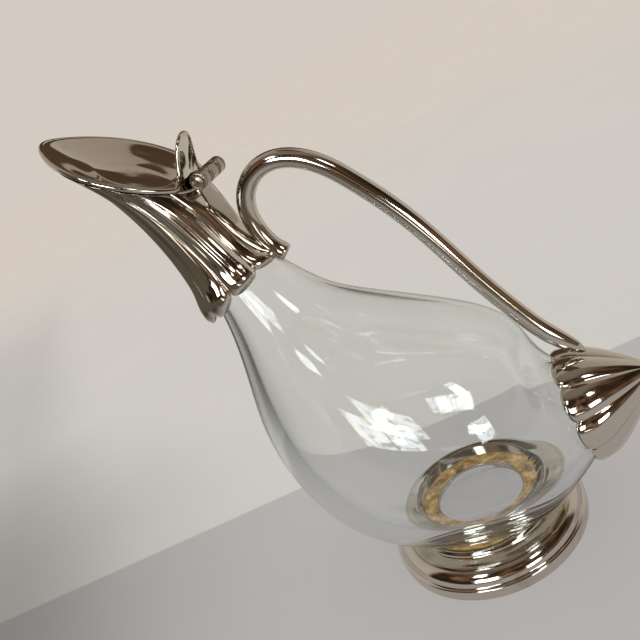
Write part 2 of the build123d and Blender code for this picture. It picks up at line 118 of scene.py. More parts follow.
def solid(name, grid, close_rows=False, cap_start=False, cap_end=False, material=None, body="jug"):
    """A mesh from a grid of points (rows, columns, 3) in millimetres, closed round its columns."""
    grid = np.asarray(grid, float)
    rows, columns = grid.shape[:2]
    made = bmesh.new()
    verts = [[made.verts.new(Vector(p) * MM) for p in row] for row in grid]
    for i in range(rows if close_rows else rows - 1):
        low, high = verts[i], verts[(i + 1) % rows]
        for j in range(columns):
            k = (j + 1) % columns
            made.faces.new((low[j], low[k], high[k], high[j]))
    if cap_start:
        made.faces.new(verts[0])
    if cap_end:
        made.faces.new(verts[-1])
    return finished(name, made, material, body)


def finished(name, made, material, body):
    """Merges, turns the faces outwards and links the mesh as a smooth object that rides on a body."""
    bmesh.ops.remove_doubles(made, verts=made.verts, dist=1e-7)
    bmesh.ops.recalc_face_normals(made, faces=made.faces)
    data = bpy.data.meshes.new(name)
    made.to_mesh(data)
    made.free()
    for face in data.polygons:
        face.use_smooth = True
    thing = bpy.data.objects.new(name, data)
    bpy.context.scene.collection.objects.link(thing)
    if material is not None:
        data.materials.append(material)
    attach(thing, body)
    return thing


def ring_section(back, breast, half_width, turn):
    """Points of an ellipse across the body between two points of the middle plane."""
    back, breast = np.array([back[0], 0, back[1]]), np.array([breast[0], 0, breast[1]])
    centre, half = (back + breast) / 2, (breast - back) / 2
    return centre + np.outer(np.cos(turn), half) + np.outer(np.sin(turn), [0, half_width, 0])


def rounded(corners, steps=6):
    """A polyline with each corner (x, y, radius) rounded off."""
    points = []
    for i, (x, y, radius) in enumerate(corners):
        here = np.array([x, y])
        before, after = np.array(corners[i - 1][:2]), np.array(corners[(i + 1) % len(corners)][:2])
        if radius <= 0 or i in (0, len(corners) - 1) and not np.allclose(corners[0][:2], corners[-1][:2]):
            points.append(here)
            continue
        a, b = before - here, after - here
        cut = min(radius, 0.48 * np.linalg.norm(a), 0.48 * np.linalg.norm(b))
        start, end = here + a / np.linalg.norm(a) * cut, here + b / np.linalg.norm(b) * cut
        for t in np.linspace(0, 1, steps + 1):
            points.append((1 - t) ** 2 * start + 2 * t * (1 - t) * here + t * t * end)
    return np.array(points)


def turned(name, profile, axis="z", centre=(0, 0, 0), count=192, **more):
    """A body of revolution from (radius, height) points about Z or Y."""
    profile = np.asarray(profile)
    turn = np.linspace(0, 2 * np.pi, count, endpoint=False)
    grid = np.zeros((len(profile), count, 3))
    wide = [np.outer(profile[:, 0], np.cos(turn)), np.outer(profile[:, 0], np.sin(turn))]
    high = np.repeat(profile[:, 1:2], count, axis=1)
    if axis == "z":
        grid[..., 0], grid[..., 1], grid[..., 2] = wide[0], wide[1], high
    else:
        grid[..., 0], grid[..., 2], grid[..., 1] = wide[0], wide[1], high
    return solid(name, grid + np.array(centre), **more)


def swept(path, radii, count=64):
    """Rings round a path in the middle plane (x, z), with a radius at each point."""
    path = np.array(path)
    along = np.gradient(path, axis=0)
    along /= np.linalg.norm(along, axis=1)[:, None]
    turn = np.linspace(0, 2 * np.pi, count, endpoint=False)
    rings = []
    for (x, z), (dx, dz), radius in zip(path, along, radii):
        side = np.array([-dz, 0, dx])
        around = np.outer(np.cos(turn), side) + np.outer(np.sin(turn), [0, 1, 0])
        rings.append(np.array([x, 0, z]) + radius * around)
    return np.array(rings)


# ---- materials ------------------------------------------------------------------------
def material(name):
    """A new node material, its nodes, links and surface shader."""
    made = bpy.data.materials.new(name)
    made.use_nodes = True
    return made, made.node_tree.nodes, made.node_tree.links, made.node_tree.nodes["Principled BSDF"]


def noise(nodes, links, scale, detail=4.0, rough=0.5, stretch=None):
    """A noise texture in the object's own coordinates."""
    where = nodes.new("ShaderNodeTexCoord")
    node = nodes.new("ShaderNodeTexNoise")
    node.inputs["Scale"].default_value = scale
    node.inputs["Detail"].default_value = detail
    node.inputs["Roughness"].default_value = rough
    if stretch:
        bend = nodes.new("ShaderNodeMapping")
        bend.inputs["Scale"].default_value = stretch
        links.new(where.outputs["Object"], bend.inputs["Vector"])
        links.new(bend.outputs["Vector"], node.inputs["Vector"])
    else:
        links.new(where.outputs["Object"], node.inputs["Vector"])
    return node.outputs["Fac"]


def ramp(nodes, links, source, stops):
    """A colour ramp with (position, colour) stops."""
    node = nodes.new("ShaderNodeValToRGB")
    node.color_ramp.elements[0].position, node.color_ramp.elements[0].color = stops[0]
    node.color_ramp.elements[1].position, node.color_ramp.elements[1].color = stops[-1]
    for position, colour in stops[1:-1]:
        node.color_ramp.elements.new(position).color = colour
    links.new(source, node.inputs["Fac"])
    return node.outputs["Color"]


def grey(value):
    return (value, value, value, 1.0)


def silver(name, tarnish=0.5, rough=0.045, bump=0.02, clean=(0.64, 0.582, 0.512, 1)):
    """Mirror-polished silver plate: warm, with faint tarnish, specks and fine scratches."""
    made, nodes, links, shader = material(name)
    shader.inputs["Metallic"].default_value = 1.0
    dull = (clean[0] * 0.70, clean[1] * 0.64, clean[2] * 0.56, 1)
    low = 0.62 - 0.12 * tarnish
    patches = ramp(nodes, links, noise(nodes, links, 55, 5, 0.6), [(low, clean), (low + 0.24, dull)])
    specks = ramp(nodes, links, noise(nodes, links, 420, 2, 0.5), [(0.74, grey(1)), (0.79, grey(0.3))])
    mixed = nodes.new("ShaderNodeMix")
    mixed.data_type, mixed.blend_type = "RGBA", "MULTIPLY"
    mixed.inputs["Factor"].default_value = 1.0
    links.new(patches, mixed.inputs[6])
    links.new(specks, mixed.inputs[7])
    links.new(mixed.outputs[2], shader.inputs["Base Color"])
    haze = ramp(nodes, links, noise(nodes, links, 38, 6, 0.65), [(0.35, grey(rough)), (0.75, grey(rough * 3.2))])
    links.new(haze, shader.inputs["Roughness"])
    scratches = noise(nodes, links, 90, 8, 0.7, (1, 1, 9))
    ripple = nodes.new("ShaderNodeBump")
    ripple.inputs["Strength"].default_value = bump
    ripple.inputs["Distance"].default_value = 0.0004
    links.new(scratches, ripple.inputs["Height"])
    links.new(ripple.outputs["Normal"], shader.inputs["Normal"])
    return made


def clear_glass():
    """Clear glass with a slight grey-green tint and faint blown waviness; its colour turns dark grey at grazing
    angles, painted shade for the dark lines along its outlines.
    """
    made, nodes, links, shader = material("clear_glass")
    weight = nodes.new("ShaderNodeLayerWeight")
    weight.inputs["Blend"].default_value = 0.5
    # painted shade: the colour darkens to grey towards grazing angles, so the glass's outlines show as dark lines
    tint_and_painted_light = ramp(nodes, links, weight.outputs["Facing"],
                [(0.0, (0.978, 0.99, 0.986, 1)), (0.86, (0.975, 0.987, 0.983, 1)), (0.94, (0.70, 0.74, 0.73, 1)),
                 (1.0, (0.22, 0.25, 0.24, 1))])
    links.new(tint_and_painted_light, shader.inputs["Base Color"])
    shader.inputs["Roughness"].default_value = 0.0
    shader.inputs["IOR"].default_value = 1.5
    shader.inputs["Transmission Weight"].default_value = 1.0
    wavy = nodes.new("ShaderNodeBump")
    wavy.inputs["Strength"].default_value = 0.06
    wavy.inputs["Distance"].default_value = 0.002
    links.new(noise(nodes, links, 22, 2, 0.4, (1, 1, 0.6)), wavy.inputs["Height"])
    links.new(wavy.outputs["Normal"], shader.inputs["Normal"])
    return made


def cement():
    """Yellow-brown plaster cement, mottled and slightly shiny, with a painted glow in its own colour standing in for
    the light that reaches it through the glass.
    """
    made, nodes, links, shader = material("cement")
    stops = [(0.32, (0.07, 0.035, 0.010, 1)), (0.46, (0.30, 0.17, 0.05, 1)), (0.60, (0.62, 0.42, 0.14, 1)),
             (0.72, (0.85, 0.76, 0.5, 1))]
    tint_and_painted_light = ramp(nodes, links, noise(nodes, links, 160, 6, 0.7), stops)
    links.new(tint_and_painted_light, shader.inputs["Base Color"])
    # painted light: the cement gives off light in its own mottled colour, in place of the light that reaches it
    # through the glass
    links.new(tint_and_painted_light, shader.inputs["Emission Color"])
    shader.inputs["Emission Strength"].default_value = 0.55
    shader.inputs["Roughness"].default_value = 0.55
    lumps = nodes.new("ShaderNodeBump")
    lumps.inputs["Distance"].default_value = 0.0006
    links.new(noise(nodes, links, 300, 5, 0.6), lumps.inputs["Height"])
    links.new(lumps.outputs["Normal"], shader.inputs["Normal"])
    return made


POLISHED = silver("silver_polished")
WORN = silver("silver_worn", tarnish=2.2, rough=0.13, bump=0.35, clean=(0.46, 0.40, 0.33, 1))
AGED = silver("silver_aged", tarnish=1.2, rough=0.06, bump=0.03, clean=(0.44, 0.395, 0.335, 1))
CEMENT = cement()
GLASS_MATERIAL = clear_glass()

# ---- glass body -------------------------------------------------------------------------
glass_turn = np.linspace(0, 2 * np.pi, 192, endpoint=False)
glass_rows = through(GLASS, 220)
outer = np.array([ring_section(row[0:2], row[2:4], row[4], glass_turn) for row in glass_rows])
round_way = np.roll(outer, -1, axis=1) - np.roll(outer, 1, axis=1)
inward = np.cross(np.gradient(outer, axis=0), round_way)
inward /= np.linalg.norm(inward, axis=2)[:, :, None]
inward *= np.sign(np.sum(inward * (outer.mean(axis=1)[:, None] - outer), axis=2))[:, :, None]
# the wall is thin round the back and reaches its full thickness on the breast side
heavy = np.clip((np.cos(glass_turn) + 0.95) / 1.5, 0, 1)
heavy = heavy * heavy * (3 - 2 * heavy)
wall = glass_rows[:, 5:6] + (glass_rows[:, 6:7] - glass_rows[:, 5:6]) * heavy
inner = outer + inward * wall[:, :, None]
reach = np.hypot(outer[..., 0], outer[..., 1])
outer[..., 2] = np.maximum(outer[..., 2], np.where(reach < SPIGOT_RADIUS, GLASS_BASE, SHOULDER))
outer, inner = list(outer), list(inner)


def dome(ring, push, depth, steps=12):
    """Rings that close an open end with a rounded cap."""
    centre = ring.mean(axis=0)
    for step in range(1, steps + 1):
        angle = step / steps * math.pi / 2
        yield centre + (ring - centre) * max(math.cos(angle), 1e-4) + push * depth * math.sin(angle)


tail_way = np.array([0.988, 0, 0.156])  # along the tail
outer += list(dome(outer[-1], tail_way, TAIL_TIP_OUTER))
inner += list(dome(inner[-1], tail_way, TAIL_TIP_INNER))
lip = (outer[0] + inner[0]) / 2 + np.array([-0.25, 0, 0.9])
glass = solid("glass_body_clear", list(reversed(inner)) + [lip] + outer, material=GLASS_MATERIAL)
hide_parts("glass_body")

# ---- foot ---------------------------------------------------------------------------------
# the foot: a band, a wide convex moulding, and a lip under the glass
bulge = [(38.2 + 10.2 * math.cos(a), 5.7 + 8.1 * math.sin(a)) for a in np.linspace(0.10, 1.46, 40)]
foot_profile = rounded([
    (34.3, 10.0, 0), (25.0, 10.0, 0.5), (25.0, 8.0, 0.5), (35.0, 8.0, 2.0), (44.0, 6.0, 2.0), (47.0, 3.6, 1.0),
    (47.0, 0.0, 0.3), (50.0, 0.0, 0.5), (50.0, 5.4, 1.0), (48.5, 6.1, 0.3)], 8)
foot_lip = rounded([(38.6, 13.9, 0), (37.6, 14.1, 0.6), (37.1, 15.6, 0.7), (36.0, 16.4, 0.5), (34.3, 16.4, 0)], 8)
foot_profile = np.concatenate([foot_profile, bulge, foot_lip])
foot = turned("foot_ring_turned", foot_profile, count=256, close_rows=True, material=POLISHED)
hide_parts("foot_ring")

# ---- collar and spout ------------------------------------------------------------------------
COLLAR_COLUMNS = 720


def flute_height(angle):
    """(0 in a groove to 1 on a crown, place across the lobe from -1 to 1) for angles in degrees."""
    angle = (np.asarray(angle) - FLUTES[0]) % 360.0 + FLUTES[0]
    place = np.zeros_like(angle)
    for low, high in zip(FLUTES, FLUTES[1:] + [360.0 + FLUTES[0]]):
        here = (angle >= low) & (angle <= high)
        place[here] = 2 * (angle[here] - low) / (high - low) - 1
    crown = (1 - np.abs(place) ** 2.4) ** 0.62
    return crown, place


def beads(angle):
    """Fine ridges beside the grooves and reeds towards the back."""
    side = np.abs((angle + 180.0) % 360.0 - 180.0)
    total = np.zeros_like(side)
    for at in FLUTES[2:4]:
        total += np.exp(-((side - at) / 2.1) ** 2)
    reeds = (side > 103) & (side < 141)
    total[reeds] += 0.45 * np.sin(np.radians((side[reeds] - 103) / 38 * 360 * 4)) * np.sin(
        np.radians((side[reeds] - 103) / 38 * 180))
    return total


def leaf_ring(row, angle, grow, inset=0.0):
    """A collar section: an oval drawn to a point at the front."""
    bx, bz, fx, fz, half_width, pointed = row[:6]
    back, front = np.array([bx, 0, bz]), np.array([fx, 0, fz])
    along = (front - back) / np.linalg.norm(front - back)
    half = np.linalg.norm(front - back) / 2 - inset
    swell = 1 - pointed * ((1 + np.cos(angle)) / 2) ** 5
    x = (half + grow) * np.cos(angle)
    y = (half_width - inset + grow) * np.sin(angle) * swell
    return (back + front) / 2 + np.outer(x, along) + np.outer(y, [0, 1, 0])


collar_turn = np.linspace(0, 2 * np.pi, COLLAR_COLUMNS, endpoint=False)
collar_rows = through(COLLAR, 150)
crown, place = flute_height(np.degrees(collar_turn))
ridge = beads(np.degrees(collar_turn))
lobe_end = LOBE_END * (1 - np.sqrt(np.clip(1 - np.abs(place) ** 2.2, 0, 1)))
from_front = np.abs(np.degrees(np.arctan2(np.sin(collar_turn), np.cos(collar_turn))))
edge_rise = lobe_end + np.interp(from_front, LOBE_MIDDLES, LOBE_RISE)
height_at = np.concatenate([[0], np.cumsum(np.linalg.norm(np.diff(
    (collar_rows[:, 0:2] + collar_rows[:, 2:4]) / 2, axis=0), axis=1))])
full = np.array([leaf_ring(row, collar_turn, row[6] * crown - GROOVE * (1 - crown)) for row in collar_rows])
bore = np.array([leaf_ring(row, collar_turn, 0 * crown, WALL) for row in collar_rows])


def at_height(stack, height, columns):
    """The point of each column of a stack of rings at a height above the lower edge."""
    place_on = np.interp(height, height_at, np.arange(len(height_at)))
    low = np.clip(place_on.astype(int), 0, len(height_at) - 2)
    share = (place_on - low)[:, None]
    return stack[low, columns] * (1 - share) + stack[low + 1, columns] * share


columns = np.arange(COLLAR_COLUMNS)
outside, inside = [], []
# closely spaced rings near the lower edge, where each lobe swells and then curls in
steps = np.concatenate([np.linspace(0, 0.08, 16)[:-1], np.linspace(0.08, 1, 140)])
for share in steps:
    height = edge_rise + (height_at[-1] - edge_rise) * share
    ring = at_height(full, height, columns)
    core = at_height(bore, height, columns)
    outward = ring - core
    outward /= np.linalg.norm(outward, axis=1)[:, None]
    above = height - edge_rise
    curl = (0.6 + 1.5 * crown) * np.clip(1 - above / 4.2, 0, 1) ** 2.6
    swelling = 1.05 * crown * np.exp(-((above - 6.5) / 4.5) ** 2)
    fade = np.clip((height_at[-1] - height) / 30, 0, 1) * np.clip((above - 4) / 10, 0, 1)
    ring += outward * (RIDGE * ridge * fade - (curl - swelling))[:, None]
    outside.append(ring)
    inside.append(core)
# the spout's rim rolls over between the outer and the inner surface
roll = [outside[-1] * (1 - s) + inside[-1] * s + np.array([-0.2, 0, 0.28]) * math.sin(math.pi * s)
        for s in (0.15, 0.4, 0.7)]
collar = solid("collar_and_spout", list(reversed(inside)) + outside + roll, close_rows=True, material=POLISHED)
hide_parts("neck_collar")

# ---- lid ------------------------------------------------------------------------------------------
rim = COLLAR[-1]
rim_back, rim_front = np.array([rim[0], 0, rim[1]]), np.array([rim[2], 0, rim[3]])
rim_along = (rim_front - rim_back) / np.linalg.norm(rim_front - rim_back)
rim_up = np.cross(rim_along, [0, 1, 0])
rim_up *= np.sign(rim_up[2])
LID_LEVEL, LID_WIRE = 1.8, 1.25  # the bead's height over the rim and its radius
TAB_RANGE = 34.0  # degrees each side of the back over which the rim runs up the thumbpiece
TAB_HALF_WIDTH = 15.4  # where the climb starts
DISH_DEPTH, SHEET_TOP, SHEET_LOW, DISH_SHIFT = 7.6, 0.9, -0.5, 6.6
lid_turn = np.concatenate([np.linspace(0, 2.55, 150)[:-1], np.linspace(2.55, 2 * np.pi - 2.55, 130),
                           np.linspace(2 * np.pi - 2.55, 2 * np.pi, 150)[1:-1]])
# the rim's path across the back climbs the thumbpiece: half width, height along the tab
CLIMB_SIDE = [(TAB_HALF_WIDTH, 0.0), (13.8, 0.9), (11.9, 2.8), (10.2, 5.6), (8.9, 9.2), (8.0, 13.4), (6.6, 17.6),
              (3.8, 20.7)]
CLIMB = through([(-y, up) for y, up in CLIMB_SIDE] + [(0.0, 21.5)] + CLIMB_SIDE[::-1], 400)
# the thumbpiece from the side: x, z
TAB_LINE = [(-51.0, 217.8), (-51.9, 221.5), (-51.4, 225.5), (-50.1, 230.0), (-48.6, 234.5), (-47.4, 239.0)]


def lid_outline(turn):
    """Across (y), place along the outline's length, and climb for angles round the lid."""
    swell = 1 - rim[5] * ((1 + np.cos(turn)) / 2) ** 5
    y, climb = rim[4] * np.sin(turn) * swell, np.zeros_like(turn)
    back = np.abs(np.degrees(turn) - 180) < TAB_RANGE
    share = (turn[back] - turn[back][0]) / (turn[back][-1] - turn[back][0])
    at = share * (len(CLIMB) - 1)
    start_y = abs(y[back][0]) / TAB_HALF_WIDTH
    y[back] = -np.interp(at, np.arange(len(CLIMB)), CLIMB[:, 0]) * start_y
    climb[back] = np.interp(at, np.arange(len(CLIMB)), CLIMB[:, 1])
    along = np.cos(turn)
    along[back] = -np.sqrt(np.clip(1 - (y[back] / rim[4]) ** 2, 0, 1))
    return y, along, climb


LID_Y, LID_ALONG, LID_CLIMB = lid_outline(lid_turn)
tab_line = through(TAB_LINE, 80)
tab_line = tab_line - tab_line[0]


def lid_ring(size, shift, level, climb=0.0, behind=0.0):
    """A ring of the lid: the rim's outline at a share of its size, moved back, raised and drawn up the tab."""
    centre = (rim_back + rim_front) / 2
    half = np.linalg.norm(rim_front - rim_back) / 2 * size
    ring = (centre - rim_along * shift + rim_up * level + np.outer(half * LID_ALONG, rim_along)
            + np.outer(LID_Y * size, [0, 1, 0]))
    lift = LID_CLIMB * climb
    ring[:, 0] += np.interp(lift, tab_line[:, 1], tab_line[:, 0]) + behind * np.clip(lift / 3, 0, 1)
    ring[:, 2] += lift
    return ring


# the bead: a round wire along the outline, drawn up round the thumbpiece
wire_line = lid_ring(1.0, 0.0, LID_LEVEL, 1.0)
ahead = np.roll(wire_line, -1, axis=0) - np.roll(wire_line, 1, axis=0)
ahead /= np.linalg.norm(ahead, axis=1)[:, None]
side = np.cross(ahead, [0.30, 0, 0.95])
side /= np.linalg.norm(side, axis=1)[:, None]
lift_way = np.cross(side, ahead)
thick = LID_WIRE - 0.35 * np.clip(LID_CLIMB / 6, 0, 1)
bead = []
for angle in np.linspace(0, 2 * np.pi, 28, endpoint=False):
    bead.append(wire_line + thick[:, None] * (side * math.cos(angle) + lift_way * math.sin(angle) * 0.92))
wire = solid("lid_rim_bead", bead, close_rows=True, material=POLISHED, body="lid")
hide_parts("lid_rim_wire")

# the sheet: a leaf-shaped dish whose back sweeps up into the thumbpiece
# share of the depth, share of the outline, shift to the hinge, share of the climb
DISH = [(0.0, 0.985, 0.1, 1.0), (0.02, 0.95, 0.3, 0.72), (0.07, 0.91, 0.6, 0.42), (0.17, 0.85, 1.1, 0.17),
        (0.32, 0.77, 1.9, 0.04), (0.52, 0.66, 3.2, 0.0), (0.74, 0.50, 4.9, 0.0), (0.92, 0.30, 6.2, 0.0),
        (0.99, 0.12, DISH_SHIFT, 0.0)]
dish_rows = through(DISH, 90)
dish_rows[:, 3] = np.clip(dish_rows[:, 3], 0, 1)
dish_top = [lid_ring(s, m, LID_LEVEL + SHEET_TOP - d * DISH_DEPTH, c, -0.35) for d, s, m, c in dish_rows]
dish_low = [lid_ring(s, m, LID_LEVEL + SHEET_LOW - d * DISH_DEPTH, c, 0.95) for d, s, m, c in dish_rows]
dish_top += [lid_ring(s, DISH_SHIFT, LID_LEVEL + SHEET_TOP - DISH_DEPTH) for s in (0.06, 0.0004)]
dish_low += [lid_ring(s, DISH_SHIFT, LID_LEVEL + SHEET_LOW - DISH_DEPTH) for s in (0.06, 0.0004)]
dish = solid("lid_leaf_and_tab", list(reversed(dish_top)) + dish_low, material=POLISHED, body="lid")
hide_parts("lid_dish", "thumbpiece")


# ---- hinge ------------------------------------------------------------------------------------------
def barrel(name, low, high, grooves, body):
    """A hinge knuckle along Y with rounded ends and turned grooves."""
    radius, cut = KNUCKLE_RADIUS, 0.45
    corners = [(PIN_BORE, low, 0), (radius, low, 0.7)]
    for at in grooves:
        corners += [(radius, at - cut, 0.2), (radius - cut, at, 0.2), (radius, at + cut, 0.2)]
    corners += [(radius, high, 0.7), (PIN_BORE, high, 0)]
    return turned(name, rounded(corners, 5), axis="y", centre=HINGE, count=96, close_rows=True, material=WORN,
                  body=body)


near = barrel("hinge_knuckle_near", -KNUCKLE_OUTER, -KNUCKLE_INNER, (-10.4, -5.6, -4.6), "jug")
far = barrel("hinge_knuckle_far", KNUCKLE_INNER, KNUCKLE_OUTER, (4.6, 5.6, 10.4), "jug")
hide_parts("collar_knuckles")
middle = barrel("hinge_knuckle_lid", -LID_KNUCKLE, LID_KNUCKLE, (), "lid")
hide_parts("lid_knuckle")
# the root joins the lid's knuckle to the rim: x, z
root_path = through([(-46.4, 221.8), (-48.6, 221.2), (-50.4, 219.8), (-51.2, 218.4)], 14)
angles = np.linspace(0, 2 * np.pi, 24, endpoint=False)
root_grid = []
for x, z in root_path:
    root_grid.append(np.stack([x + 0.0 * angles, 3.4 * np.sign(np.sin(angles)) * np.abs(np.sin(angles)) ** 0.5,
                               z + 1.3 * np.sign(np.cos(angles)) * np.abs(np.cos(angles)) ** 0.6], 1))
root = solid("lid_root", root_grid, cap_start=True, cap_end=True, material=WORN, body="lid")
# the pin with its riveted heads: radius, y
pin_profile = rounded([(0.0, -12.9, 0), (1.1, -12.9, 0.3), (2.5, -12.5, 0.4), (2.6, -12.0, 0.2), (1.5, -12.0, 0),
                       (1.5, 12.0, 0), (2.6, 12.0, 0.2), (2.5, 12.5, 0.4), (1.1, 12.9, 0.3), (0.0, 12.9, 0)], 5)
pin_profile[:, 0] = np.maximum(pin_profile[:, 0], 0.001)
pin = turned("hinge_pin_riveted", pin_profile, axis="y", centre=HINGE, count=64, material=WORN)
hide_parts("hinge_pin")

# the plate on the collar's back that carries the barrel: it follows the collar's surface
plate_rows = through([  # height on the collar's back (z), half angle in degrees, how thick
    (193.4, 1.5, 0.1), (194.2, 9.0, 0.6), (196.0, 15.0, 0.9), (200.0, 19.5, 1.0), (205.0, 20.0, 1.0),
    (209.5, 16.0, 1.1), (213.0, 12.5, 1.3), (215.6, 11.0, 1.5)], 60)
back_line = full[:, COLLAR_COLUMNS // 2]
across = np.linspace(-1, 1, 31)
edge = np.sqrt(np.clip(1 - np.abs(across) ** 6, 0, 1))[:, None]
plate_grid = []
for z, half_angle, thick in plate_rows:
    row = np.interp(z, back_line[:, 2], np.arange(len(back_line)))
    low = int(row)
    column = (COLLAR_COLUMNS / 360) * (180 + half_angle * across)
    left = column.astype(int)
    part = (column - left)[:, None]
    skin = [stack[low + k, left] * (1 - part) + stack[low + k, left + 1] * part
            for stack in (full, bore) for k in (0, 1)]
    shell = skin[0] * (1 - row + low) + skin[1] * (row - low)
    core = skin[2] * (1 - row + low) + skin[3] * (row - low)
    way = shell - core
    way /= np.linalg.norm(way, axis=1)[:, None]
    seat = core + way * (WALL + 0.45)
    plate_grid.append(np.concatenate([seat + way * thick * edge, (seat - way * 0.6)[::-1]]))
# its top turns outwards under the barrel
for rise, out, share in ((0.9, 1.0, 0.96), (1.9, 2.4, 0.92), (2.6, 3.8, 0.9), (2.9, 4.6, 0.86)):
    ring = plate_grid[len(plate_rows) - 1].copy()
    ring[:, 0] += out
    ring[:, 2] += rise - 0.25 * out
    ring[:, 1] *= share
    plate_grid.append(ring)
plate = solid("hinge_plate_shield", plate_grid, cap_start=True, cap_end=True, material=AGED)
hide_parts("hinge_plate")

# ---- handle ---------------------------------------------------------------------------------------------
handle_path = through(HANDLE, 420)
share = np.linspace(0, 1, 420)
# the far end narrows and sinks into the tail cap
taper = np.clip((share - 0.92) / 0.08, 0, 1) ** 2
radii = (HANDLE_RADIUS - 0.2 * share + 0.35 * np.exp(-(share / 0.012) ** 2)) * (1 - 0.5 * taper)
handle_path[:, 1] -= 1.6 * taper
radii[:6] *= np.array([0.82, 0.90, 0.95, 0.98, 0.99, 1.0])
radii[-8:] *= np.sqrt(np.linspace(1.0, 0.35, 8))
handle = solid("handle_bar", swept(handle_path, radii, 72), cap_start=True, cap_end=True, material=POLISHED)
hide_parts("handle")

# ---- tail cap -------------------------------------------------------------------------------------------
tail_axis = np.array([math.cos(TAIL_TILT), 0, math.sin(TAIL_TILT)])
tail_up = np.array([-math.sin(TAIL_TILT), 0, math.cos(TAIL_TILT)])
tail_turn = np.linspace(0, 2 * np.pi, 600, endpoint=False)
tail_rows = through(TAIL, 120)
last = TAIL[-1]
nose = [(last[0] + 2.2 * math.sin(a), last[1] * max(math.cos(a), 1e-4), last[2] + 0.3 * math.sin(a), 0.0)
        for a in np.linspace(0.1, math.pi / 2, 12)]
tail_rows = np.concatenate([tail_rows, nose])
lobe_place = (tail_turn * TAIL_LOBES / (2 * np.pi)) % 1.0 * 2 - 1
lobe_crown = (1 - np.abs(lobe_place) ** 2.2) ** 0.8
tail_edge = 2.2 * (1 - np.sqrt(np.clip(1 - np.abs(lobe_place) ** 2.2, 0, 1)))


def tail_at(distance, grow=0.0, inset=0.0):
    """The cap's ring at a distance from its edge, given for each point of the ring."""
    radius, lift, depth = [np.interp(distance, tail_rows[:, 0], tail_rows[:, k]) for k in (1, 2, 3)]
    centre = TAIL_ORIGIN + np.outer(distance, tail_axis) + np.outer(lift, tail_up)
    reach = (np.maximum(radius - inset, 0.001) + depth * (lobe_crown - 1) + grow)[:, None]
    return centre + reach * (np.outer(np.cos(tail_turn), tail_up) + np.outer(np.sin(tail_turn), [0, 1, 0]))


cap_rows = []
end = tail_rows[-1][0]
for step in np.concatenate([np.linspace(0, 0.12, 14)[:-1], np.linspace(0.12, 1, 110)]):
    distance = tail_edge + (end - tail_edge) * step
    curl = 0.9 * np.clip(1 - (distance - tail_edge) / 2.6, 0, 1) ** 2.4
    cap_rows.append(tail_at(distance, grow=-curl))
hollow = []
for step in np.linspace(0, 0.86, 60):
    distance = tail_edge + (end - tail_edge) * step
    hollow.append(tail_at(distance, inset=TAIL_WALL))
floor_of_cap = hollow[-1].mean(axis=0)
hollow += [floor_of_cap + (hollow[-1] - floor_of_cap) * s for s in (0.6, 0.3, 0.0004)]
cap = solid("tail_cap_fluted", list(reversed(hollow)) + cap_rows, material=POLISHED)
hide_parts("tail_cap")

# ---- cement rings keep their CAD shape ---------------------------------------------------------------------
for node in ("foot_cement", "neck_cement", "tail_cement"):
    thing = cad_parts[node]
    thing.data.materials.clear()
    thing.data.materials.append(CEMENT)

# ---- floor, light and camera --------------------------------------------------------------------------------
def calc(nodes, links, operation, *values):
    """A math node on numbers and sockets."""
    node = nodes.new("ShaderNodeMath")
    node.operation = operation
    for socket, value in zip(node.inputs, values):
        if isinstance(value, (int, float)):
            socket.default_value = value
        else:
            links.new(value, socket)
    return node.outputs[0]


def smooth(nodes, links, value, low, high, start=0.0, end=1.0):
    """A smooth step of a value between two numbers."""
    node = nodes.new("ShaderNodeMapRange")
    node.interpolation_type = "SMOOTHSTEP"
    for name, number in (("From Min", low), ("From Max", high), ("To Min", start), ("To Max", end)):
        node.inputs[name].default_value = number
    links.new(value, node.inputs["Value"])
    return node.outputs["Result"]


def blend(nodes, links, factor, low, high):
    """Mixes two colours, each a socket or a tuple."""
    node = nodes.new("ShaderNodeMix")
    node.data_type = "RGBA"
    for socket, value in ((node.inputs[0], factor), (node.inputs[6], low), (node.inputs[7], high)):
        if isinstance(value, (int, float, tuple)):
            socket.default_value = value
        else:
            links.new(value, socket)
    return node.outputs[2]


def mirrored(nodes, links):
    """1 for rays that a mirror or glass has turned back and no dull surface has scattered."""
    path = nodes.new("ShaderNodeLightPath")
    return calc(nodes, links, "MULTIPLY", calc(nodes, links, "GREATER_THAN", path.outputs["Glossy Depth"], 0.5),
                calc(nodes, links, "LESS_THAN", path.outputs["Diffuse Depth"], 0.5))


def scaled(nodes, links, colour, factor):
    """A colour times a number or a socket."""
    node = nodes.new("ShaderNodeVectorMath")
    node.operation = "SCALE"
    links.new(colour, node.inputs[0])
    if isinstance(factor, (int, float)):
        node.inputs["Scale"].default_value = factor
    else:
        links.new(factor, node.inputs["Scale"])
    return node.outputs[0]


def in_glass(nodes, links, colour):
    """The colour, dulled for rays that have been reflected inside the glass."""
    path = nodes.new("ShaderNodeLightPath")
    through_glass = calc(nodes, links, "GREATER_THAN", path.outputs["Transmission Depth"], 1.5)
    inside = calc(nodes, links, "MULTIPLY", through_glass,
                  calc(nodes, links, "GREATER_THAN", path.outputs["Glossy Depth"], 0.5))
    dulled = nodes.new("ShaderNodeVectorMath")
    dulled.operation = "MULTIPLY"
    links.new(colour, dulled.inputs[0])
    dulled.inputs[1].default_value = (0.86, 0.89, 0.88)
    return blend(nodes, links, inside, colour, dulled.outputs[0])


scene = bpy.context.scene
